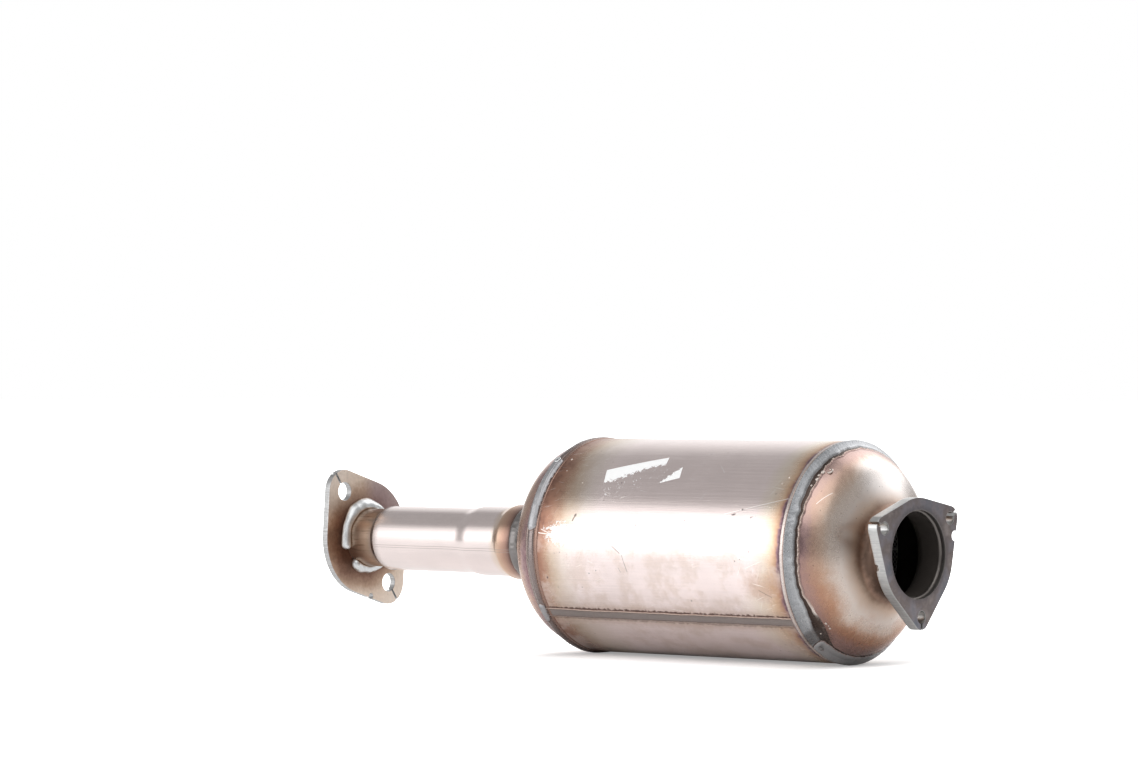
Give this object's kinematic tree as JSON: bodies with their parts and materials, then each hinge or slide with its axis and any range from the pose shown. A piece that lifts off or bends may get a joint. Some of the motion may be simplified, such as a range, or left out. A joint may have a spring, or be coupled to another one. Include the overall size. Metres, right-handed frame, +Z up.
{
  "type": "diesel particulate filter",
  "caption": "Welded stainless exhaust particulate filter: round can with domed ends, lobed inlet flange, stepped outlet pipe with its own flange, and a segmented ceramic core inside.",
  "frame": {"origin": "centre of the inlet gasket face, on the common axis", "axes": "+X along the axis out of the inlet, -Y to the front of the picture, +Z up"},
  "size_m": [0.5326, 0.1584, 0.1584],
  "materials": {
    "can_steel": "satin rolled stainless with heat tint at the welds",
    "dome_steel": "drawn stainless, straw to purple heat tint",
    "pipe_steel": "satin tube with brown tint at its ends",
    "inlet_plate": "cut plate, grey-purple face and bright edge",
    "outlet_plate": "cut plate, tan face and bright edge",
    "weld_metal": "rough grey weld bead",
    "fibre_mat": "off-white fibre blanket",
    "cement": "matt grey cement",
    "filter_ceramic": "matt dark porous ceramic"
  },
  "bodies": {
    "root": {"shell": "can_steel", "inlet_dome": "dome_steel", "outlet_dome": "dome_steel", "outlet_pipe": "pipe_steel", "inlet_flange": "inlet_plate", "outlet_flange": "outlet_plate", "shell_seam_weld": "weld_metal", "inlet_ring_weld": "weld_metal", "outlet_ring_weld": "weld_metal", "inlet_flange_weld": "weld_metal", "outlet_neck_weld": "weld_metal", "outlet_flange_weld_upper": "weld_metal", "outlet_flange_weld_lower": "weld_metal", "support_mat": "fibre_mat", "filter_cement": "cement", "filter_segment_1_1": "filter_ceramic", "filter_segment_1_2": "filter_ceramic", "filter_segment_1_3": "filter_ceramic", "filter_segment_1_4": "filter_ceramic", "filter_segment_2_1": "filter_ceramic", "filter_segment_2_2": "filter_ceramic", "filter_segment_2_3": "filter_ceramic", "filter_segment_2_4": "filter_ceramic", "filter_segment_3_1": "filter_ceramic", "filter_segment_3_2": "filter_ceramic", "filter_segment_3_3": "filter_ceramic", "filter_segment_3_4": "filter_ceramic", "filter_segment_4_1": "filter_ceramic", "filter_segment_4_2": "filter_ceramic", "filter_segment_4_3": "filter_ceramic", "filter_segment_4_4": "filter_ceramic"}
  },
  "joints": []
}
